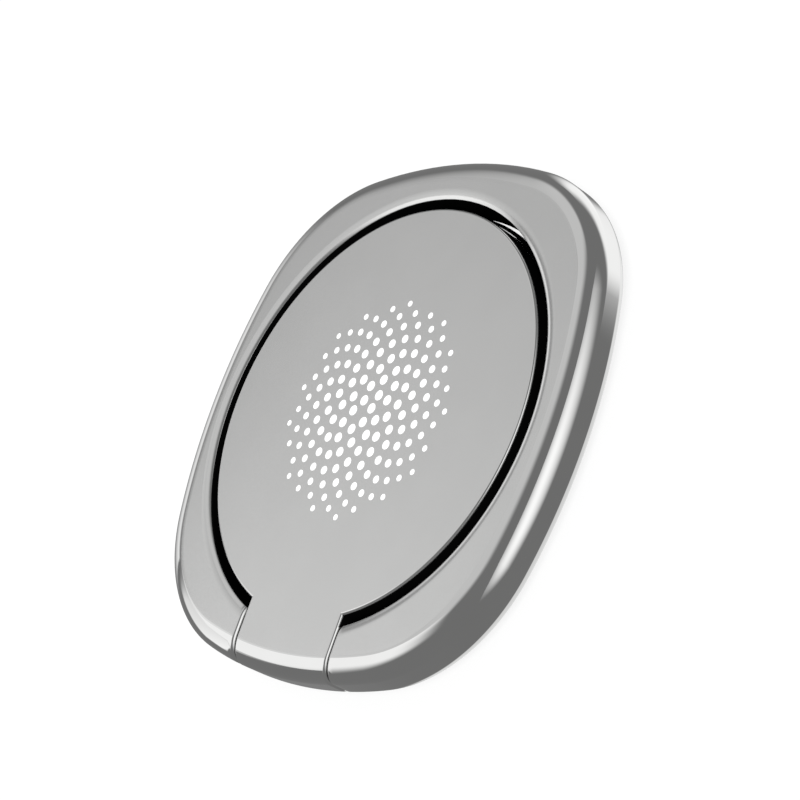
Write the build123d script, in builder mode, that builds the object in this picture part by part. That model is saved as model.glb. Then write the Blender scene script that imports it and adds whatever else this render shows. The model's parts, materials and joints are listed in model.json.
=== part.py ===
from build123d import *
import os

# Phone ring holder: a rounded-square finger ring hinged on the tab of a round face plate,
# which swivels on an adhesive-backed base plate. Millimetres, +Z up, the ring closed.
# The origin is the centre of the adhesive's underside, on the swivel axis.
# The hinge runs along X on the -Y side.

# Finger ring
ring_width = 35.5
ring_length = 36.0
rim_width = 2.75
side_radius = 36.0
corner_radius = 11.3
top_round = 1.1
bottom_round = 0.8
lip_width = 0.9
lip_drop = 0.2
hole_bottom_chamfer = 0.5
ring_lift = 0.5

# Face plate and its hinge tab
face_gap = 0.7
face_thickness = 1.2
face_drop = 0.05
face_edge_chamfer = 0.15
tab_width = 9.4
slit_width = 0.15

# Hinge
hinge_inset = 1.75
hinge_depth = 1.1
pin_diameter = 1.0
pin_grip = 2.6
pin_end_chamfer = 0.15
sleeve_wall = 0.25
sleeve_slot = 0.3
sleeve_recess = 0.1

# Swivel
base_setback = 0.4
base_edge_chamfer = 0.25
base_gap = 0.3
web_thickness = 0.5
well_diameter = 9.0
spigot_diameter = 4.4
thread_diameter = 2.5
thread_depth = 1.8
screw_head_diameter = 7.6
screw_head_height = 0.5
screw_slot_width = 0.8
screw_slot_depth = 0.25
spring_height = 0.3
spring_thickness = 0.12
spring_rim = 0.3
washer_outer_margin = 2.0
washer_inner_margin = 1.5
washer_thickness = 0.3
adhesive_margin = 0.5
adhesive_thickness = 0.5

# Clearances
running_clearance = 0.03
seat_clearance = 0.01
slide_clearance = 0.05
head_clearance = 0.1

# Heights, from the phone upwards
well_depth = spring_height + screw_head_height + head_clearance
base_bottom = adhesive_thickness
web_bottom = base_bottom + well_depth
base_top = web_bottom + web_thickness
face_bottom = base_top + washer_thickness + slide_clearance
face_top = face_bottom + face_thickness
ring_top = face_top + face_drop
ring_height = ring_top - ring_lift
spigot_bottom = web_bottom - spring_height
head_bottom = spigot_bottom - screw_head_height

# Radii and places that follow
edge_tolerance = 0.001
finger_hole_radius = min(ring_width, ring_length) / 2 - rim_width
face_radius = finger_hole_radius - face_gap
base_radius = finger_hole_radius - base_setback
washer_outer_radius = base_radius - washer_outer_margin
washer_inner_radius = well_diameter / 2 + washer_inner_margin
adhesive_radius = base_radius - adhesive_margin
slot_width = tab_width + 2 * slit_width
pin_radius = pin_diameter / 2
pin_length = slot_width + 2 * pin_grip
sleeve_inner_radius = pin_radius + running_clearance
sleeve_outer_radius = sleeve_inner_radius + sleeve_wall
hinge_y = hinge_inset - ring_length / 2
hinge_z = ring_top - hinge_depth
hinge_plane = Plane(origin=(0, hinge_y, hinge_z), x_dir=(0, 1, 0), z_dir=(1, 0, 0))


def rim_outline(height):
    # Four bowed sides, each an arc of a large circle, with rounded corners
    side_offset = side_radius - ring_width / 2
    end_offset = side_radius - ring_length / 2
    with BuildSketch(Plane.XY.offset(height)) as rim:
        with Locations((side_offset, 0)):
            Circle(side_radius)
        for centre in ((-side_offset, 0), (0, end_offset), (0, -end_offset)):
            with Locations(centre):
                Circle(side_radius, mode=Mode.INTERSECT)
        fillet(rim.vertices(), corner_radius)
    return rim.sketch


def rounded_rim(part, height):
    # The rim's solid, with the soft top edge and the smaller lower edge
    extrude(rim_outline(ring_lift), amount=height)
    fillet(part.faces().sort_by(Axis.Z)[-1].edges(), top_round)
    fillet(part.faces().sort_by(Axis.Z)[0].edges(), bottom_round)


# Finger ring: the rim, less the finger hole with its shallow lip, the tab's slot and the pin's seats
with BuildPart() as finger_ring:
    rounded_rim(finger_ring, ring_height)
    with BuildSketch(Plane.XY.offset(ring_lift)):
        Circle(finger_hole_radius)
    extrude(amount=ring_height, mode=Mode.SUBTRACT)
    hole_edges = finger_ring.edges().filter_by(
        lambda edge: edge.geom_type == GeomType.CIRCLE
        and abs(edge.radius - finger_hole_radius) < edge_tolerance
    )
    top_face = finger_ring.faces().sort_by(Axis.Z)[-1]
    chamfer(hole_edges.sort_by(Axis.Z)[-1], lip_width, lip_drop, reference=top_face)
    chamfer(hole_edges.sort_by(Axis.Z)[0], hole_bottom_chamfer)
    with BuildSketch(Plane.XY.offset(ring_lift)):
        Rectangle(slot_width, ring_length / 2, align=(Align.CENTER, Align.MAX))
    extrude(amount=ring_height, mode=Mode.SUBTRACT)
    with BuildSketch(hinge_plane):
        Circle(pin_radius + seat_clearance)
    extrude(amount=pin_length / 2 + seat_clearance, both=True, mode=Mode.SUBTRACT)
finger_ring.part.label = "finger_ring"

# Hinge tab: a strip of the same rim, hollowed below to go round the base plate
with BuildPart() as hinge_tab:
    rounded_rim(hinge_tab, face_top - ring_lift)
    with BuildSketch(Plane.XY.offset(ring_lift)):
        Rectangle(tab_width, ring_length / 2, align=(Align.CENTER, Align.MAX))
    extrude(amount=ring_height, mode=Mode.INTERSECT)
    with BuildSketch(Plane.XY.offset(ring_lift)):
        Circle(base_radius + base_gap)
    extrude(amount=face_bottom - ring_lift, mode=Mode.SUBTRACT)

# Face plate: disc, tab and swivel spigot in one casting
with BuildPart() as face_plate:
    with BuildSketch(Plane.XY.offset(face_bottom)):
        Circle(face_radius)
    extrude(amount=face_thickness)
    chamfer(face_plate.edges().group_by(Axis.Z)[-1], face_edge_chamfer)
    add(hinge_tab.part)
    with BuildSketch(Plane.XY.offset(spigot_bottom)):
        Circle(spigot_diameter / 2)
    extrude(amount=face_bottom - spigot_bottom)
    with BuildSketch(Plane.XY.offset(spigot_bottom)):
        Circle(thread_diameter / 2 + seat_clearance)
    extrude(amount=thread_depth, mode=Mode.SUBTRACT)
    with BuildSketch(hinge_plane):
        Circle(sleeve_outer_radius + seat_clearance)
    extrude(amount=tab_width / 2, both=True, mode=Mode.SUBTRACT)
face_plate.part.label = "face_plate"

# Hinge pin, with chamfered ends
with BuildPart() as hinge_pin:
    with BuildSketch(hinge_plane):
        Circle(pin_radius)
    extrude(amount=pin_length / 2, both=True)
    chamfer(hinge_pin.edges().filter_by(GeomType.CIRCLE), pin_end_chamfer)
hinge_pin.part.label = "hinge_pin"

# Friction sleeve: a split tube in the tab that grips the pin
with BuildPart() as friction_sleeve:
    with BuildSketch(hinge_plane):
        Circle(sleeve_outer_radius)
        Circle(sleeve_inner_radius, mode=Mode.SUBTRACT)
        Rectangle(
            sleeve_slot, sleeve_outer_radius, align=(Align.CENTER, Align.MAX), mode=Mode.SUBTRACT
        )
    extrude(amount=tab_width / 2 - sleeve_recess, both=True)
friction_sleeve.part.label = "friction_sleeve"

# Base plate, with the bearing hole for the spigot and a well below it for the screw head
with BuildPart() as base_plate:
    with BuildSketch(Plane.XY.offset(base_bottom)):
        Circle(base_radius)
        Circle(spigot_diameter / 2 + running_clearance, mode=Mode.SUBTRACT)
    extrude(amount=base_top - base_bottom)
    with BuildSketch(Plane.XY.offset(base_bottom)):
        Circle(well_diameter / 2)
    extrude(amount=well_depth, mode=Mode.SUBTRACT)
    base_face = base_plate.faces().filter_by(Plane.XY).sort_by(Axis.Z)[-1]
    chamfer(base_face.outer_wire().edges(), base_edge_chamfer)
base_plate.part.label = "base_plate"

# Slip washer between the base plate and the face plate
with BuildPart() as slip_washer:
    with BuildSketch(Plane.XY.offset(base_top)):
        Circle(washer_outer_radius)
        Circle(washer_inner_radius, mode=Mode.SUBTRACT)
    extrude(amount=washer_thickness)
slip_washer.part.label = "slip_washer"

# Pivot screw: a wide flat head under the spigot, slotted from below
with BuildPart() as pivot_screw:
    with BuildSketch(Plane.XY.offset(head_bottom)):
        Circle(screw_head_diameter / 2)
    extrude(amount=screw_head_height)
    with BuildSketch(Plane.XY.offset(spigot_bottom)):
        Circle(thread_diameter / 2)
    extrude(amount=thread_depth - slide_clearance)
    with BuildSketch(Plane.XY.offset(head_bottom)):
        Rectangle(screw_head_diameter, screw_slot_width)
    extrude(amount=screw_slot_depth, mode=Mode.SUBTRACT)
pivot_screw.part.label = "pivot_screw"

# Disc spring: a shallow cone between the screw head and the base plate's web
spring_inner_radius = spigot_diameter / 2 + head_clearance
spring_outer_radius = screw_head_diameter / 2 - spring_rim
spring_rise = spring_height - spring_thickness - slide_clearance
with BuildPart() as disc_spring:
    with BuildSketch(Plane.XZ):
        with BuildLine():
            Polyline(
                (spring_inner_radius, spigot_bottom),
                (spring_outer_radius, spigot_bottom + spring_rise),
                (spring_outer_radius, spigot_bottom + spring_rise + spring_thickness),
                (spring_inner_radius, spigot_bottom + spring_thickness),
                close=True,
            )
        make_face()
    revolve(axis=Axis.Z)
disc_spring.part.label = "disc_spring"

# Adhesive pad under the base plate
with BuildPart() as adhesive_pad:
    with BuildSketch():
        Circle(adhesive_radius)
    extrude(amount=adhesive_thickness)
adhesive_pad.part.label = "adhesive_pad"

os.makedirs("parts", exist_ok=True)
for piece in (
    finger_ring,
    face_plate,
    hinge_pin,
    friction_sleeve,
    base_plate,
    slip_washer,
    pivot_screw,
    disc_spring,
    adhesive_pad,
):
    export_step(piece.part, f"parts/{piece.part.label}.step")
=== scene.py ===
import json
import math
import bpy
from mathutils import Matrix, Vector


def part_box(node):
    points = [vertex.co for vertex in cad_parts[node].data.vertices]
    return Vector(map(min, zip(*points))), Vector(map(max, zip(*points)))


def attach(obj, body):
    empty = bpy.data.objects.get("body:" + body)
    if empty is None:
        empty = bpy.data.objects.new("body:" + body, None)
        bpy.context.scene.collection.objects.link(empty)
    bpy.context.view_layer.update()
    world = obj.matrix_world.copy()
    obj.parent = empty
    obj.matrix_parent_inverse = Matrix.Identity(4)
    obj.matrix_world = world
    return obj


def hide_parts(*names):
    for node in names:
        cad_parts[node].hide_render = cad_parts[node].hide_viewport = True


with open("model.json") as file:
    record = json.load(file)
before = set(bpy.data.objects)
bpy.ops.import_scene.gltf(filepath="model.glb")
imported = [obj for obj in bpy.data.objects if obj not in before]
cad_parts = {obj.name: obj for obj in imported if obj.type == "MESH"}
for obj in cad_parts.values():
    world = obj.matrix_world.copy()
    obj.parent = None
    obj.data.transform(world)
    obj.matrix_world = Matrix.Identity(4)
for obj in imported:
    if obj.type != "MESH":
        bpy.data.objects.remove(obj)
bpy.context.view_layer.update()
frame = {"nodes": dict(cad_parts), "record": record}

ringLow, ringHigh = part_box("finger_ring")
plateLow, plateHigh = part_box("face_plate")
up = Vector((0, 0, 1))
print("frame loaded:", len(frame["nodes"]), "nodes")

# The rim's outline: four bowed sides with rounded corners, shared by the ring and the tab
rimSizes = {
    "halfWidth": ringHigh.x,
    "halfLength": ringHigh.y,
    "sideRadius": 0.036,
    "cornerRadius": 0.0113,
    "roundWidth": 0.0016,
    "roundHeight": 0.0011,
    "bottomRound": 0.0008,
    "rollWidth": 0.0003,
    "rollTilt": 2.0,
    "satinMargin": 0.00001,
    "rollSteps": 4,
    "roundSteps": 18,
}


def findRimCorner():
    # centre of the corner arc that touches a side and an end from inside
    reach = rimSizes["sideRadius"] - rimSizes["cornerRadius"]
    sideBack = rimSizes["sideRadius"] - rimSizes["halfWidth"]
    endBack = rimSizes["sideRadius"] - rimSizes["halfLength"]
    apart = math.hypot(sideBack, endBack)
    rise = math.sqrt(reach**2 - apart**2 / 4)
    corner = Vector((rise * endBack / apart - sideBack / 2, rise * sideBack / apart - endBack / 2))
    sideTurn = math.atan2(corner.y, corner.x + sideBack)
    endTurn = math.atan2(corner.y + endBack, corner.x)
    return corner, sideBack, endBack, sideTurn, endTurn


rimCorner, sideBack, endBack, sideTurn, endTurn = findRimCorner()


def rimPoint(turn, inset):
    # point of the outline, pulled in by inset, where the outline faces the angle turn
    across, along = math.cos(turn), math.sin(turn)
    facing = math.atan2(abs(along), abs(across))
    centre, radius = rimCorner, rimSizes["cornerRadius"]
    if facing < sideTurn:
        centre, radius = Vector((-sideBack, 0)), rimSizes["sideRadius"]
    if facing > endTurn:
        centre, radius = Vector((0, -endBack)), rimSizes["sideRadius"]
    x = centre.x + (radius - inset) * math.cos(facing)
    y = centre.y + (radius - inset) * math.sin(facing)
    return math.copysign(x, across), math.copysign(y, along)


def spread(first, last, count):
    return [first + (last - first) * step / count for step in range(count + 1)]


def roundRows(radius, height, start, stop, steps):
    # rows of a rounded edge as (inset, height, outward, upward), height being the edge's flat face
    rows = []
    for step in range(steps + 1):
        angle = math.radians(start + (stop - start) * step / steps)
        sign = 1 if start + stop > 0 else -1
        inset = radius * (1 - math.cos(angle))
        z = height - sign * radius + radius * math.sin(angle)
        rows.append((inset, z, math.cos(angle), math.sin(angle)))
    return rows


def rimRows(top):
    # rows from the wall up over an oval round, then a slow roll into the flat top
    width, height = rimSizes["roundWidth"], rimSizes["roundHeight"]
    tilt = math.radians(rimSizes["rollTilt"])
    rollRadius = rimSizes["rollWidth"] / math.sin(tilt)
    rows = []
    for angle in spread(0, math.pi / 2 - tilt, rimSizes["roundSteps"]):
        outward, upward = math.cos(angle), math.sin(angle)
        reach = math.hypot(width * outward, height * upward)
        rows.append((width - width**2 * outward / reach, height**2 * upward / reach, outward, upward))
    inset, rise = rows[-1][:2]
    foot = top - rollRadius * (1 - math.cos(tilt)) - rise
    rows = [(inset, foot + rise, outward, upward) for inset, rise, outward, upward in rows]
    for angle in spread(tilt, 0, rimSizes["rollSteps"])[1:]:
        along = rollRadius * (math.sin(tilt) - math.sin(angle))
        z = top - rollRadius * (1 - math.cos(angle))
        rows.append((inset + along, z, math.sin(angle), math.cos(angle)))
    return rows


def mirrored(column):
    return [(Vector((-p.x, p.y, p.z)), Vector((-n.x, n.y, n.z))) for p, n in column]


def stripFaces(columns, closed=False):
    # quads between neighbouring columns of (point, normal), running on round the section if closed
    faces = []
    for column, after in zip(columns, columns[1:]):
        for row in range(len(column) if closed else len(column) - 1):
            below = (row + 1) % len(column)
            faces.append([column[row], after[row], after[below], column[below]])
    return faces


def onSatin(face):
    # the flat tops, their slow rolls and the hole's lip are satin, the rest is polished
    reach = ringSizes["holeRadius"] + ringSizes["lipEdge"] + ringSizes["lipWidth"] + ringSizes["lipRoll"]
    onLip = all(point.xy.length < reach for point, normal in face)
    level = 0 if onLip else math.cos(math.radians(rimSizes["rollTilt"]))
    return all(normal.z > level - rimSizes["satinMargin"] for point, normal in face) and face[0][1].z > 0


def flatFace(points, normal):
    return [(Vector(point), normal) for point in points]


weldDigits = 8  # corners that agree to this many decimals of a metre meet


def meshObject(name, faces):
    # corners of (point, normal) that meet share one vertex, and keep their own normals
    places, points, loops, normals = {}, [], [], []
    for face in faces:
        loop = []
        for point, normal in face:
            place = places.setdefault(tuple(round(value, weldDigits) for value in point), len(points))
            if place == len(points):
                points.append(point)
            loop.append(place)
            normals.append(normal)
        loops.append(loop)
    mesh = bpy.data.meshes.new(name)
    mesh.from_pydata(points, [], loops)
    mesh.shade_smooth()
    mesh.normals_split_custom_set(normals)
    for polygon, face in zip(mesh.polygons, faces):
        polygon.material_index = int(onSatin(face))
    made = bpy.data.objects.new(name, mesh)
    bpy.context.scene.collection.objects.link(made)
    return made


# Finger ring: columns of one profile, swept from the slot round to the middle and mirrored
ringSizes = {
    "holeRadius": 0.015,
    "lipEdge": 0.00006,
    "lipWidth": 0.0003,
    "lipTilt": 30.0,
    "lipRoll": 0.00045,
    "lipRollTilt": 11.0,
    "holeBottomRound": 0.0005,
    "holeTaper": 0.0002,
    "slotWidth": 0.0097,
    "slitEdge": 0.00025,
    "slitSteps": 6,
    "slotSteps": 8,
    "cornerSteps": 32,
    "sideSteps": 24,
}
slotX = ringSizes["slotWidth"] / 2


def lipRows(top):
    # rows from the hole's wall over its edge and up the lip, which rolls slowly into the top
    roll, tilt = math.radians(ringSizes["lipRollTilt"]), math.radians(ringSizes["lipTilt"])
    edge = ringSizes["lipEdge"]
    lipRadius = ringSizes["lipWidth"] / (math.sin(tilt) - math.sin(roll))
    rollRadius = ringSizes["lipRoll"] / math.sin(roll)
    steps = [(edge, angle) for angle in spread(math.pi / 2, tilt, rimSizes["rollSteps"])]
    steps += [(lipRadius, angle) for angle in spread(tilt, roll, rimSizes["rollSteps"])[1:]]
    steps += [(rollRadius, angle) for angle in spread(roll, 0, rimSizes["rollSteps"])[1:]]
    rows = [(0, 0, 1, 0)]
    starts = [angle for radius, angle in steps]
    for (radius, angle), start in zip(steps[1:], starts):
        inset, rise = rows[-1][:2]
        inset += radius * (math.sin(start) - math.sin(angle))
        rise += radius * (math.cos(angle) - math.cos(start))
        rows.append((inset, rise, math.sin(angle), math.cos(angle)))
    rise = rows[-1][1]
    return [(inset, top - rise + height, outward, upward) for inset, height, outward, upward in rows]


def ringProfile():
    # (on the rim?, inset, height, outward, upward) once round the section, the hole narrowing to its foot
    steps = rimSizes["roundSteps"]
    rows = [(True, *row) for row in roundRows(rimSizes["bottomRound"], ringLow.z, -90, 0, steps)]
    rows += [(True, *row) for row in rimRows(ringHigh.z)]
    rows += [(False, *row) for row in reversed(lipRows(ringHigh.z))]
    for inset, *row in roundRows(ringSizes["holeBottomRound"], ringLow.z, 0, -90, steps):
        rows.append((False, inset - ringSizes["holeTaper"], *row))
    return rows


def sectionPoint(onRim, inset, x):
    # where the plane at x cuts the rim's near end, or the finger hole's edge
    if onRim:
        return x, endBack - math.sqrt((rimSizes["sideRadius"] - inset) ** 2 - x * x)
    return x, -math.sqrt((ringSizes["holeRadius"] + inset) ** 2 - x * x)


def slitColumns(profile):
    # the slot's soft edge, from its wall out to the ring's surface
    columns = []
    edge = ringSizes["slitEdge"]
    middle = (ringLow.z + ringHigh.z) / 2
    for angle in spread(0, math.pi / 2, ringSizes["slitSteps"]):
        column = []
        for onRim, inset, z, outward, upward in profile:
            x, y = sectionPoint(onRim, inset, slotX + edge * (1 - math.cos(angle)))
            facing = Vector((0, -outward if onRim else outward, upward))
            push = facing if onRim or z < middle else up
            shrink = edge * (1 - math.sin(angle))
            normal = facing * math.sin(angle) - Vector((math.cos(angle), 0, 0))
            column.append((Vector((x, y, z)) - push * shrink, normal))
        columns.append(column)
    return columns


def sweepSteps():
    # (share, turn) of each column: shares of the way from the slot to the first turn, then turn by turn
    steps = ringSizes["slotSteps"]
    turns = spread(-endTurn, -sideTurn, ringSizes["cornerSteps"])
    turns += spread(-sideTurn, sideTurn, ringSizes["sideSteps"])[1:]
    turns += spread(sideTurn, endTurn, ringSizes["cornerSteps"])[1:]
    turns += spread(endTurn, math.pi / 2, steps)[1:]
    return [(step / steps, -endTurn) for step in range(1, steps)] + [(1, turn) for turn in turns]


def sweepColumn(profile, share, turn):
    # the section where the rim faces the angle turn, or a share of the way there from the slot
    column = []
    for onRim, inset, z, outward, upward in profile:
        startX, startY = sectionPoint(onRim, inset, slotX + ringSizes["slitEdge"])
        if onRim:
            start = math.atan2(startY - endBack, startX)
            angle = start + (turn - start) * share
            x, y = rimPoint(angle, inset)
            facing = Vector((math.cos(angle) * outward, math.sin(angle) * outward, upward))
        else:
            start = math.atan2(startY, startX)
            x, y = rimPoint(turn, rimSizes["roundWidth"])
            angle = start + (math.atan2(y, x) - start) * share
            radius = ringSizes["holeRadius"] + inset
            x, y = radius * math.cos(angle), radius * math.sin(angle)
            facing = Vector((-math.cos(angle) * outward, -math.sin(angle) * outward, upward))
        column.append((Vector((x, y, z)), facing))
    return column


def buildRing():
    profile = ringProfile()
    half = slitColumns(profile) + [sweepColumn(profile, share, turn) for share, turn in sweepSteps()]
    columns = half + [mirrored(column) for column in reversed(half[:-1])]
    faces = [list(columns[0]), list(reversed(columns[-1]))]
    return meshObject("fingerRingBody", faces + stripFaces(columns, closed=True))


# Face plate: the round disc and its hinge tab in one piece, with the swivel spigot below
plateSizes = {
    "discRadius": plateHigh.x,
    "discThickness": 0.0012,
    "tabWidth": 0.0094,
    "edgeRound": 0.0002,
    "edgeSteps": 6,
    "discSteps": 200,
    "tabSteps": 16,
    "chordSteps": 12,
    "spigotRadius": 0.0022,
    "spigotLength": 0.00115,
    "threadRadius": 0.00126,
    "threadDepth": 0.0018,
}
discUnder = plateHigh.z - plateSizes["discThickness"]


def plateCorner(inset):
    # where the disc's edge meets the tab's side, both pulled in by inset
    x = plateSizes["tabWidth"] / 2 - inset
    return x, -math.sqrt((plateSizes["discRadius"] - inset) ** 2 - x * x)


def discColumns(edgeRows):
    columns = [[] for step in range(plateSizes["discSteps"] + 1)]
    for inset, z, outward, upward in [(0, discUnder, 1, 0)] + edgeRows:
        x, y = plateCorner(inset)
        start = math.atan2(y, x)
        radius = plateSizes["discRadius"] - inset
        for column, angle in zip(columns, spread(start, math.pi - start, plateSizes["discSteps"])):
            across, along = math.cos(angle), math.sin(angle)
            point = Vector((radius * across, radius * along, z))
            column.append((point, Vector((across * outward, along * outward, upward))))
    return columns


def tabColumn(x, lean, shrink):
    # the tab's section from the top's edge over the rim to the underside
    rows = list(reversed(rimRows(plateHigh.z)))
    rows += roundRows(rimSizes["bottomRound"], plateLow.z, 0, -90, rimSizes["roundSteps"])
    column = []
    for inset, z, outward, upward in rows:
        facing = Vector((0, -outward, upward))
        point = Vector((*sectionPoint(True, inset, x), z)) - facing * shrink
        column.append((point, facing * math.sin(lean) + Vector((math.cos(lean), 0, 0))))
    return column


def tabSideColumns(edgeRows):
    # the rounded edge between the tab's right side and its outer surface
    columns = []
    chordY = plateCorner(0)[1]
    for inset, z, outward, upward in edgeRows:
        shrink = plateHigh.z - z
        lean = math.atan2(upward, outward)
        x, y = plateCorner(inset)
        first = (Vector((x, y, z)), Vector((outward, 0, upward)))
        last = (Vector((x, chordY, plateLow.z + shrink)), Vector((outward, 0, -upward)))
        columns.append([first] + tabColumn(x, lean, shrink) + [last])
    return columns


def spigotFaces(outline):
    # the disc's underside, drawn in to the spigot and its plain screw hole
    under, foot = discUnder, discUnder - plateSizes["spigotLength"]
    steps = [
        (None, under, -up, 0),
        (plateSizes["spigotRadius"], under, -up, 0),
        (plateSizes["spigotRadius"], under, None, 1),
        (plateSizes["spigotRadius"], foot, None, 1),
        (plateSizes["spigotRadius"], foot, -up, 0),
        (plateSizes["threadRadius"], foot, -up, 0),
        (plateSizes["threadRadius"], foot, None, -1),
        (plateSizes["threadRadius"], foot + plateSizes["threadDepth"], None, -1),
    ]
    columns = []
    for x, y in outline + outline[:1]:
        across, along = Vector((x, y)).normalized()
        column = []
        for radius, z, normal, outward in steps:
            place = (x, y, z) if radius is None else (radius * across, radius * along, z)
            column.append((Vector(place), normal or Vector((across, along, 0)) * outward))
        columns.append(column)
    faces = []
    for row in range(0, len(steps), 2):
        faces += stripFaces([[column[row + 1], column[row]] for column in columns])
    end = [column[-1][0] for column in columns[:-1]]
    return faces + [flatFace(reversed(end), -up)]


def buildPlate():
    edge = plateSizes["edgeRound"]
    half = plateSizes["tabWidth"] / 2
    edgeRows = roundRows(edge, plateHigh.z, 0, 90, plateSizes["edgeSteps"])
    disc = discColumns(edgeRows)
    rightSide = tabSideColumns(edgeRows)
    leftSide = [mirrored(column) for column in reversed(rightSide)]
    middle = [tabColumn(x, math.pi / 2, 0) for x in spread(half - edge, edge - half, plateSizes["tabSteps"])]
    chordY = plateCorner(0)[1]
    chord = [(x, chordY) for x in spread(-half, half, plateSizes["chordSteps"])]
    faces = []
    for columns in (disc, rightSide, middle, leftSide):
        faces += stripFaces(columns)
    top = [column[-1][0] for column in disc] + [column[0][0] for column in reversed(middle)]
    faces.append(flatFace(top, up))
    foot = [column[-1][0] for column in middle]
    foot += [Vector((-half + edge, chordY, plateLow.z)), Vector((half - edge, chordY, plateLow.z))]
    faces.append(flatFace(foot, -up))
    hinge = [point for point, normal in rightSide[0]] + [Vector((half, chordY, discUnder))]
    faces.append(flatFace(hinge, Vector((1, 0, 0))))
    faces.append(flatFace([Vector((-p.x, p.y, p.z)) for p in reversed(hinge)], Vector((-1, 0, 0))))
    inner = [Vector((x, y, discUnder)) for x, y in chord]
    inner += [column[-1][0] for column in rightSide] + [column[-1][0] for column in leftSide]
    faces.append(flatFace(inner, Vector((0, 1, 0))))
    outline = [(column[0][0].x, column[0][0].y) for column in disc] + chord[1:-1]
    return meshObject("facePlateBody", faces + spigotFaces(outline))


ringBody = buildRing()
print("finger ring:", len(ringBody.data.polygons), "faces")
plateBody = buildPlate()
print("face plate:", len(plateBody.data.polygons), "faces")


# Small helpers for node trees
def addNode(tree, kind, **settings):
    node = tree.nodes.new(kind)
    for name, value in settings.items():
        setattr(node, name, value)
    return node


def wire(tree, source, target):
    # source and target are sockets; a plain value or colour is set on the target instead
    if isinstance(source, bpy.types.NodeSocket):
        tree.links.new(source, target)
    elif target.type == "RGBA":
        target.default_value = (*source, 1)
    else:
        target.default_value = source


def mathNode(tree, operation, first, second=0.0):
    node = addNode(tree, "ShaderNodeMath", operation=operation)
    wire(tree, first, node.inputs[0])
    wire(tree, second, node.inputs[1])
    return node.outputs[0]


def rampNode(tree, value, low, high, toLow=0.0, toHigh=1.0, smooth=True):
    node = addNode(tree, "ShaderNodeMapRange", interpolation_type="SMOOTHSTEP" if smooth else "LINEAR")
    wire(tree, value, node.inputs["Value"])
    for name, limit in (("From Min", low), ("From Max", high), ("To Min", toLow), ("To Max", toHigh)):
        node.inputs[name].default_value = limit
    return node.outputs["Result"]


def noiseNode(tree, place, scale, detail=3.0):
    node = addNode(tree, "ShaderNodeTexNoise")
    wire(tree, place, node.inputs["Vector"])
    node.inputs["Scale"].default_value = scale
    node.inputs["Detail"].default_value = detail
    return node.outputs["Fac"]


def colourNode(tree, factor, first, second):
    # a Mix node has its two colours at inputs 6 and 7, and their mix at output 2
    node = addNode(tree, "ShaderNodeMix", data_type="RGBA")
    wire(tree, factor, node.inputs["Factor"])
    wire(tree, first, node.inputs[6])
    wire(tree, second, node.inputs[7])
    return node.outputs[2]


def bumpNode(tree, height, strength, distance):
    node = addNode(tree, "ShaderNodeBump")
    wire(tree, height, node.inputs["Height"])
    node.inputs["Strength"].default_value = strength
    node.inputs["Distance"].default_value = distance
    return node.outputs["Normal"]


def newMaterial(name):
    material = bpy.data.materials.new(name)
    material.use_nodes = True
    tree = material.node_tree
    place = addNode(tree, "ShaderNodeTexCoord").outputs["Object"]
    return material, tree, tree.nodes["Principled BSDF"], place


def radiusFrom(tree, place):
    # distance from the swivel axis
    flat = addNode(tree, "ShaderNodeVectorMath", operation="MULTIPLY")
    wire(tree, place, flat.inputs[0])
    flat.inputs[1].default_value = (1, 1, 0)
    length = addNode(tree, "ShaderNodeVectorMath", operation="LENGTH")
    wire(tree, flat.outputs[0], length.inputs[0])
    return length.outputs["Value"]


def heightFrom(tree, place):
    split = addNode(tree, "ShaderNodeSeparateXYZ")
    wire(tree, place, split.inputs[0])
    return split.outputs["Z"]


# The stretch of a noise's values that a finish is spread over, as few of them lie near 0 or 1
noiseReach = {"tone": (0.35, 0.65), "polish": (0.3, 0.7)}

# Plated alloy: a bright plating with a faint cloud in its tone, and painted shade that makes the walls in
# the gap near black and unreflective while the ring is closed
alloyFinish = {
    "polishedAlloy": {"tone": (0.62, 0.62, 0.615), "cloud": (0.61, 0.61, 0.605), "polish": (0.03, 0.05)},
    "satinAlloy": {"tone": (0.62, 0.62, 0.615), "cloud": (0.61, 0.61, 0.605), "polish": (0.14, 0.17)},
}
# painted shade: the walls deep in the gap between the disc's edge and the hole get a near-black tone and no
# metal sheen
paintedGapShade = {
    "inner": plateSizes["discRadius"] - plateSizes["edgeRound"] / 2,
    "outer": ringSizes["holeRadius"],
    "fade": 0.00004,
    "shelter": 0.0015,
    "openFrom": 0.65,
    "openTo": 0.9,
    "low": plateHigh.z - 0.00009,
    "high": plateHigh.z - 0.00004,
    "tone": (0.002, 0.002, 0.002),
}
alloyGrain = {"cloudScale": 260.0, "grainScale": 5200.0, "grainDetail": 2.0, "shine": 0.5}


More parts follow.
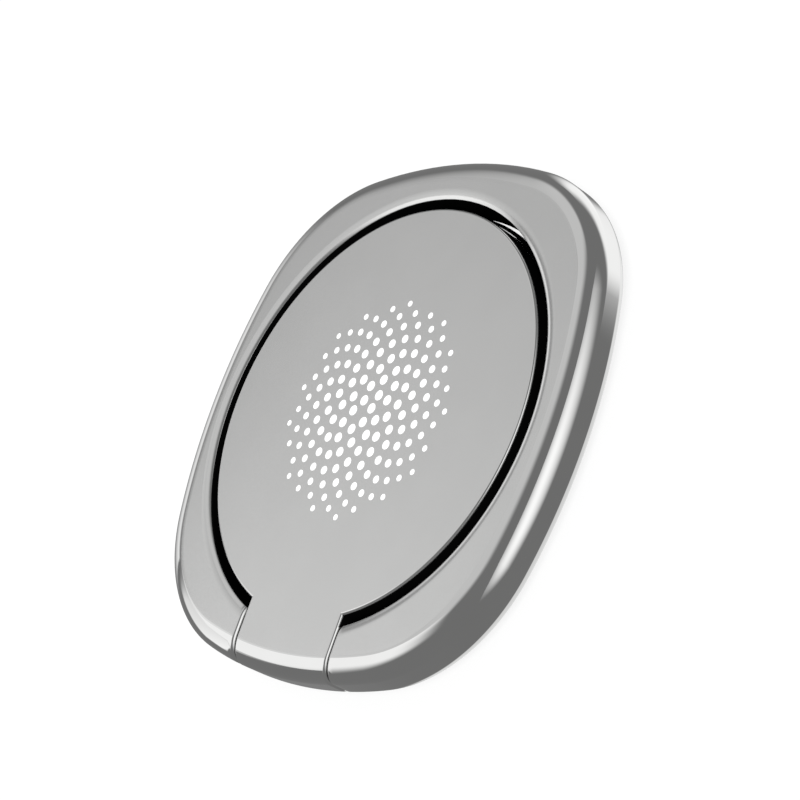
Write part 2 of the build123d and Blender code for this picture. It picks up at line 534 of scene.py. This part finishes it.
def alloyMaterial(name):
    finish = alloyFinish[name]
    material, tree, shader, place = newMaterial(name)
    cloud = noiseNode(tree, place, alloyGrain["cloudScale"])
    grain = noiseNode(tree, place, alloyGrain["grainScale"], alloyGrain["grainDetail"])
    # painted shade mask: between the disc's edge and the hole, below the top, and only where ambient
    # occlusion finds the walls sheltered
    radius = radiusFrom(tree, place)
    inside = rampNode(tree, radius, paintedGapShade["inner"] - paintedGapShade["fade"], paintedGapShade["inner"])
    outside = rampNode(tree, radius, paintedGapShade["outer"], paintedGapShade["outer"] + paintedGapShade["fade"], 1, 0)
    deep = rampNode(tree, heightFrom(tree, place), paintedGapShade["low"], paintedGapShade["high"], 1, 0)
    shadeZone = mathNode(tree, "MULTIPLY", mathNode(tree, "MULTIPLY", inside, outside), deep)
    shelter = addNode(tree, "ShaderNodeAmbientOcclusion")
    shelter.inputs["Distance"].default_value = paintedGapShade["shelter"]
    closed = rampNode(tree, shelter.outputs["AO"], paintedGapShade["openFrom"], paintedGapShade["openTo"], 1, 0)
    gapShade = mathNode(tree, "MULTIPLY", shadeZone, closed)
    plated = colourNode(tree, rampNode(tree, cloud, *noiseReach["tone"]), finish["tone"], finish["cloud"])
    # the painted shade replaces the plating tone and takes away metallic and specular reflection
    wire(tree, colourNode(tree, gapShade, plated, paintedGapShade["tone"]), shader.inputs["Base Color"])
    wire(tree, rampNode(tree, grain, *noiseReach["polish"], *finish["polish"]), shader.inputs["Roughness"])
    wire(tree, rampNode(tree, gapShade, 0, 1, 1, 0), shader.inputs["Metallic"])
    wire(tree, rampNode(tree, gapShade, 0, 1, alloyGrain["shine"], 0), shader.inputs["Specular IOR Level"])
    return material


# Turned or rolled steel: fine rings round the swivel axis under a faint cloud of tone
steelFinish = {
    "turnedSteel": {"light": (0.80, 0.80, 0.80), "dark": (0.74, 0.74, 0.74), "ringScale": 900.0,
                    "polish": (0.08, 0.14)},
    "springSteel": {"light": (0.45, 0.45, 0.47), "dark": (0.36, 0.36, 0.39), "ringScale": 1500.0,
                    "polish": (0.25, 0.38)},
}
steelGrain = {"waver": 1.5, "cloudScale": 700.0, "bump": 0.15, "bumpHeight": 0.00002}


def steelMaterial(name):
    finish = steelFinish[name]
    material, tree, shader, place = newMaterial(name)
    rings = addNode(tree, "ShaderNodeTexWave", wave_type="RINGS", rings_direction="Z")
    wire(tree, place, rings.inputs["Vector"])
    rings.inputs["Scale"].default_value = finish["ringScale"]
    rings.inputs["Distortion"].default_value = steelGrain["waver"]
    cloud = noiseNode(tree, place, steelGrain["cloudScale"])
    wire(tree, colourNode(tree, cloud, finish["light"], finish["dark"]), shader.inputs["Base Color"])
    wire(tree, rampNode(tree, rings.outputs["Fac"], 0, 1, *finish["polish"]), shader.inputs["Roughness"])
    bump = bumpNode(tree, rings.outputs["Fac"], steelGrain["bump"], steelGrain["bumpHeight"])
    wire(tree, bump, shader.inputs["Normal"])
    shader.inputs["Metallic"].default_value = 1.0
    return material


# Smooth washer plastic, the foam tape with its open cells, and the ink of the dots
plainFinish = {
    "washerPlastic": {"light": (0.85, 0.85, 0.83), "dark": (0.78, 0.78, 0.76), "scale": 900.0,
                      "rough": (0.40, 0.50), "bump": 0.05},
    "adhesiveFoam": {"light": (0.09, 0.09, 0.095), "dark": (0.05, 0.05, 0.055), "scale": 3500.0,
                     "rough": (0.80, 0.95), "bump": 0.5},
    "whiteInk": {"light": (0.93, 0.93, 0.93), "dark": (0.90, 0.90, 0.90), "scale": 2500.0,
                 "rough": (0.45, 0.60), "bump": 0.05},
}
plainBumpHeight = 0.00005


def plainMaterial(name):
    finish = plainFinish[name]
    material, tree, shader, place = newMaterial(name)
    cells = noiseNode(tree, place, finish["scale"])
    shade = rampNode(tree, cells, *noiseReach["tone"])
    wire(tree, colourNode(tree, shade, finish["light"], finish["dark"]), shader.inputs["Base Color"])
    wire(tree, rampNode(tree, cells, *noiseReach["polish"], *finish["rough"]), shader.inputs["Roughness"])
    wire(tree, bumpNode(tree, cells, finish["bump"], plainBumpHeight), shader.inputs["Normal"])
    return material


slotMaterials = {
    "polished_alloy": alloyMaterial("polishedAlloy"),
    "satin_alloy": alloyMaterial("satinAlloy"),
    "steel": steelMaterial("turnedSteel"),
    "spring_steel": steelMaterial("springSteel"),
    "washer_plastic": plainMaterial("washerPlastic"),
    "adhesive_foam": plainMaterial("adhesiveFoam"),
}
inkMaterial = plainMaterial("whiteInk")


def dressNodes():
    # every CAD node takes the material of its slot in the record
    for part in frame["record"]["subparts"]:
        mesh = frame["nodes"][part["node"]].data
        mesh.materials.clear()
        mesh.materials.append(slotMaterials[part["material_slot"]])


dressNodes()
for body in (ringBody, plateBody):
    body.data.materials.append(slotMaterials["polished_alloy"])
    body.data.materials.append(slotMaterials["satin_alloy"])
print("materials:", len(bpy.data.materials))

# Printed sunflower of dots on the disc, each dot a thin patch of white ink
printSizes = {
    "dots": 150,
    "spacing": 0.00062,
    "dotRadius": 0.00036,
    "edgeShare": 0.55,
    "inkThickness": 0.00003,
    "dotSides": 20,
}
goldenTurn = math.pi * (3 - math.sqrt(5))


def printTree():
    tree = bpy.data.node_groups.new("dotPrint", "GeometryNodeTree")
    inputs = {}
    kinds = {"Dots": "Int", "Spacing": "Float", "Dot Radius": "Float", "Edge Share": "Float",
             "Thickness": "Float", "Sides": "Int", "Height": "Float"}
    for name, kind in kinds.items():
        socket = tree.interface.new_socket(name, in_out="INPUT", socket_type=f"NodeSocket{kind}")
        inputs[name] = socket.identifier
    tree.interface.new_socket("Geometry", in_out="OUTPUT", socket_type="NodeSocketGeometry")
    given = addNode(tree, "NodeGroupInput").outputs
    index = addNode(tree, "GeometryNodeInputIndex").outputs[0]
    count = mathNode(tree, "ADD", index, 0.5)
    reach = mathNode(tree, "MULTIPLY", mathNode(tree, "SQRT", count), given["Spacing"])
    angle = mathNode(tree, "MULTIPLY", index, goldenTurn)
    place = addNode(tree, "ShaderNodeCombineXYZ")
    wire(tree, mathNode(tree, "MULTIPLY", reach, mathNode(tree, "COSINE", angle)), place.inputs["X"])
    wire(tree, mathNode(tree, "MULTIPLY", reach, mathNode(tree, "SINE", angle)), place.inputs["Y"])
    wire(tree, given["Height"], place.inputs["Z"])
    points = addNode(tree, "GeometryNodePoints")
    wire(tree, given["Dots"], points.inputs["Count"])
    wire(tree, place.outputs[0], points.inputs["Position"])
    dot = addNode(tree, "GeometryNodeMeshCylinder")
    wire(tree, given["Sides"], dot.inputs["Vertices"])
    wire(tree, given["Dot Radius"], dot.inputs["Radius"])
    wire(tree, given["Thickness"], dot.inputs["Depth"])
    share = addNode(tree, "ShaderNodeMapRange")
    wire(tree, index, share.inputs["Value"])
    wire(tree, given["Dots"], share.inputs["From Max"])
    share.inputs["To Min"].default_value = 1.0
    wire(tree, given["Edge Share"], share.inputs["To Max"])
    scale = addNode(tree, "ShaderNodeCombineXYZ")
    wire(tree, share.outputs[0], scale.inputs["X"])
    wire(tree, share.outputs[0], scale.inputs["Y"])
    scale.inputs["Z"].default_value = 1.0
    instances = addNode(tree, "GeometryNodeInstanceOnPoints")
    wire(tree, points.outputs[0], instances.inputs["Points"])
    wire(tree, dot.outputs["Mesh"], instances.inputs["Instance"])
    wire(tree, scale.outputs[0], instances.inputs["Scale"])
    realize = addNode(tree, "GeometryNodeRealizeInstances")
    wire(tree, instances.outputs[0], realize.inputs[0])
    ink = addNode(tree, "GeometryNodeSetMaterial")
    wire(tree, realize.outputs[0], ink.inputs["Geometry"])
    ink.inputs["Material"].default_value = inkMaterial
    wire(tree, ink.outputs[0], addNode(tree, "NodeGroupOutput").inputs[0])
    return tree, inputs


def buildPrint():
    tree, inputs = printTree()
    made = bpy.data.objects.new("discPrint", bpy.data.meshes.new("discPrint"))
    bpy.context.scene.collection.objects.link(made)
    modifier = made.modifiers.new("dotPrint", "NODES")
    modifier.node_group = tree
    values = {
        "Dots": printSizes["dots"],
        "Spacing": printSizes["spacing"],
        "Dot Radius": printSizes["dotRadius"],
        "Edge Share": printSizes["edgeShare"],
        "Thickness": printSizes["inkThickness"],
        "Sides": printSizes["dotSides"],
        "Height": plateHigh.z,
    }
    for name, value in values.items():
        modifier[inputs[name]] = value
    evaluated = made.evaluated_get(bpy.context.evaluated_depsgraph_get())
    made.data = bpy.data.meshes.new_from_object(evaluated)
    made.modifiers.remove(modifier)
    return made


discPrint = buildPrint()
print("disc print:", len(discPrint.data.polygons), "faces")

# Camera, from the fit of the finger hole, the disc and the outline to the photograph
cameraView = {
    "aim": Vector((0.002901, 0.000705, plateHigh.z)),
    "distance": 0.13362,
    "azimuth": 73.55,
    "elevation": 37.145,
    "roll": -60.006,
    "lens": 95.30,
    "sensor": 36.0,
    "near": 0.005,
    "far": 10.0,
}


def skyward(azimuth, elevation):
    # unit direction, azimuth counted from the hinge side towards +X
    around, rise = math.radians(azimuth), math.radians(elevation)
    level = math.cos(rise)
    return Vector((math.sin(around) * level, -math.cos(around) * level, math.sin(rise)))


def buildCamera():
    back = skyward(cameraView["azimuth"], cameraView["elevation"])
    data = bpy.data.cameras.new("photoCamera")
    data.lens = cameraView["lens"]
    data.sensor_width = cameraView["sensor"]
    data.clip_start = cameraView["near"]
    data.clip_end = cameraView["far"]
    camera = bpy.data.objects.new("photoCamera", data)
    camera.rotation_mode = "QUATERNION"
    upright = (-back).to_track_quat("-Z", "Y")
    roll = Matrix.Rotation(math.radians(cameraView["roll"]), 3, "Z")
    camera.rotation_quaternion = upright @ roll.to_quaternion()
    camera.location = cameraView["aim"] + back * cameraView["distance"]
    bpy.context.scene.collection.objects.link(camera)
    bpy.context.scene.camera = camera


buildCamera()

# Studio: soft white cards in a grey tent, seen only in the metal's reflections
# corners are azimuth and elevation from lower left round to upper left, strength is left and right,
# soft is left, right, lower, upper
studioCards = {
    "sideSoftbox": {"corners": ((86, -39), (121, -25), (187, 55), (33, 49)), "strength": (1.66, 1.66),
                    "soft": (0.30, 0.62, 0.58, 0.55)},
    "topSoftbox": {"corners": ((-97, 28), (-46, 23), (-21, 66), (-92, 63)), "strength": (1.37, 1.37),
                   "soft": (0.10, 0.43, 0.02, 0.46)},
    "topFill": {"corners": ((-136, 10), (-68, 25), (-84, 85), (-164, 52)), "strength": (0.82, 0.82),
                "soft": (0.14, 0.24, 0.46, 0.33)},
    "lowCard": {"corners": ((-246, -55), (-116, -60), (-152, 28), (-210, -3)), "strength": (1.38, 1.38),
                "soft": (0.30, 0.28, 0.42, 0.33)},
    "backCard": {"corners": ((-119, -32), (-82, -14), (-94, 27), (-116, 28)), "strength": (1.27, 1.27),
                 "soft": (0.51, 0.02, 0.90, 0.25)},
    "cornerCard": {"corners": ((-86, 10), (-62, 2), (-60, 27), (-97, 31)), "strength": (1.00, 1.45),
                   "soft": (0.20, 0.12, 0.20, 0.10)},
    "flatGlow": {"corners": ((-119, 31), (-93, 31), (-92, 45), (-121, 45)), "strength": (0.60, 1.00),
                 "soft": (0.12, 0.12, 0.12, 0.15)},
}
studioTent = {
    "cardDistance": 3.0,
    "cardStep": 0.1,
    "cardGrid": 16,
    "tentRadius": 5.0,
    "tentSegments": 48,
    "tentRings": 24,
    "grey": 0.24,
    "lowGrey": 1.0,
    "lowFrom": -46.0,
    "lowTo": -54.0,
}


def studioObject(name, points, faces):
    mesh = bpy.data.meshes.new(name)
    mesh.from_pydata(points, [], faces)
    made = bpy.data.objects.new(name, mesh)
    bpy.context.scene.collection.objects.link(made)
    return made


def onlyReflected(made):
    made.visible_camera = False
    made.visible_diffuse = False
    made.visible_transmission = False
    made.visible_shadow = False


def emitter(name):
    material = bpy.data.materials.new(name)
    material.use_nodes = True
    material.cycles.emission_sampling = "NONE"
    tree = material.node_tree
    tree.nodes.clear()
    light = addNode(tree, "ShaderNodeEmission")
    output = addNode(tree, "ShaderNodeOutputMaterial")
    return material, tree, light, output


def cardMaterial(name, card):
    material, tree, light, output = emitter(name)
    split = addNode(tree, "ShaderNodeSeparateXYZ")
    wire(tree, addNode(tree, "ShaderNodeTexCoord").outputs["UV"], split.inputs[0])
    level = rampNode(tree, split.outputs["X"], 0, 1, *card["strength"], smooth=False)
    wire(tree, level, light.inputs["Strength"])
    left, right, lower, upper = card["soft"]
    across = mathNode(tree, "MULTIPLY", rampNode(tree, split.outputs["X"], 0, left),
                      rampNode(tree, split.outputs["X"], 1 - right, 1, 1, 0))
    along = mathNode(tree, "MULTIPLY", rampNode(tree, split.outputs["Y"], 0, lower),
                     rampNode(tree, split.outputs["Y"], 1 - upper, 1, 1, 0))
    mix = addNode(tree, "ShaderNodeMixShader")
    wire(tree, mathNode(tree, "MULTIPLY", across, along), mix.inputs[0])
    wire(tree, addNode(tree, "ShaderNodeBsdfTransparent").outputs[0], mix.inputs[1])
    wire(tree, light.outputs[0], mix.inputs[2])
    wire(tree, mix.outputs[0], output.inputs["Surface"])
    return material


def buildCard(name, card, distance):
    # a flat card square to the line from the object, its corners where the dictionary says
    aims = [skyward(*corner) for corner in card["corners"]]
    facing = sum(aims, Vector()).normalized()
    corners = [aim * (distance / aim.dot(facing)) for aim in aims]
    grid = studioTent["cardGrid"]
    points, places = [], []
    for along in spread(0, 1, grid):
        for across in spread(0, 1, grid):
            lower = corners[0].lerp(corners[1], across)
            upper = corners[3].lerp(corners[2], across)
            points.append(lower.lerp(upper, along))
            places.append((across, along))
    row = grid + 1
    faces = [(k, k + 1, k + row + 1, k + row) for k in range(grid * row) if (k + 1) % row]
    made = studioObject(name, points, faces)
    layer = made.data.uv_layers.new(name="cardPlace")
    for loop in made.data.loops:
        layer.data[loop.index].uv = places[loop.vertex_index]
    made.data.materials.append(cardMaterial(name, card))
    onlyReflected(made)


def buildTent():
    segments, rings, radius = (studioTent[name] for name in ("tentSegments", "tentRings", "tentRadius"))
    bpy.ops.mesh.primitive_uv_sphere_add(segments=segments, ring_count=rings, radius=radius)
    made = bpy.context.object
    made.name = "greyTent"
    material, tree, light, output = emitter("greyTent")
    place = addNode(tree, "ShaderNodeTexCoord").outputs["Object"]
    ends = [math.radians(studioTent[end]) for end in ("lowTo", "lowFrom")]
    heights = [radius * math.sin(end) for end in ends]
    level = rampNode(tree, heightFrom(tree, place), *heights, studioTent["lowGrey"], studioTent["grey"])
    wire(tree, level, light.inputs["Strength"])
    wire(tree, light.outputs[0], output.inputs["Surface"])
    made.data.materials.append(material)
    onlyReflected(made)


def buildStudio():
    buildTent()
    for step, (name, card) in enumerate(studioCards.items()):
        buildCard(name, card, studioTent["cardDistance"] - step * studioTent["cardStep"])


buildStudio()

# Pale floor, white to the camera, which keeps a faint shadow
floorLook = {"size": 4.0, "drop": 0.00005, "white": 0.80, "tone": 0.9}
skyLook = {"seen": 1.0, "fill": 0.55}
lampLook = {
    "keyLamp": {"place": (0.45, -0.25, 0.60), "energy": 6.0, "size": 0.5},
    "fillLamp": {"place": (-0.50, 0.40, 0.50), "energy": 3.0, "size": 0.6},
}


def buildFloor():
    half = floorLook["size"] / 2
    z = -floorLook["drop"]
    points = [(-half, -half, z), (half, -half, z), (half, half, z), (-half, half, z)]
    made = studioObject("studioFloor", points, [(0, 1, 2, 3)])
    material, tree, light, output = emitter("paleFloor")
    light.inputs["Strength"].default_value = 1.0
    matt = addNode(tree, "ShaderNodeBsdfDiffuse")
    wire(tree, (floorLook["tone"],) * 3, matt.inputs["Color"])
    seen = addNode(tree, "ShaderNodeLightPath").outputs["Is Camera Ray"]
    mix = addNode(tree, "ShaderNodeMixShader")
    wire(tree, mathNode(tree, "MULTIPLY", seen, floorLook["white"]), mix.inputs[0])
    wire(tree, matt.outputs[0], mix.inputs[1])
    wire(tree, light.outputs[0], mix.inputs[2])
    wire(tree, mix.outputs[0], output.inputs["Surface"])
    made.data.materials.append(material)
    made.visible_glossy = False


def buildSky():
    world = bpy.data.worlds.new("studioSky")
    bpy.context.scene.world = world
    world.use_nodes = True
    tree = world.node_tree
    path = addNode(tree, "ShaderNodeLightPath")
    shown = mathNode(tree, "MAXIMUM", path.outputs["Is Camera Ray"], path.outputs["Is Glossy Ray"])
    shown = mathNode(tree, "MAXIMUM", shown, path.outputs["Is Transmission Ray"])
    level = rampNode(tree, shown, 0, 1, skyLook["fill"], skyLook["seen"], smooth=False)
    wire(tree, level, tree.nodes["Background"].inputs["Strength"])
    tree.nodes["Background"].inputs["Color"].default_value = (1, 1, 1, 1)


def buildLamps():
    for name, look in lampLook.items():
        data = bpy.data.lights.new(name, "AREA")
        data.energy = look["energy"]
        data.size = look["size"]
        lamp = bpy.data.objects.new(name, data)
        lamp.location = look["place"]
        lamp.rotation_mode = "QUATERNION"
        lamp.rotation_quaternion = (-Vector(look["place"])).to_track_quat("-Z", "Y")
        lamp.visible_glossy = False
        bpy.context.scene.collection.objects.link(lamp)


buildFloor()
buildSky()
buildLamps()
bpy.context.scene.view_settings.view_transform = "Standard"
print("studio:", len(studioCards), "cards,", len(lampLook), "lamps")

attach(ringBody, "ring")
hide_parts("finger_ring")
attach(plateBody, "face")
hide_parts("face_plate")
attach(discPrint, "face")
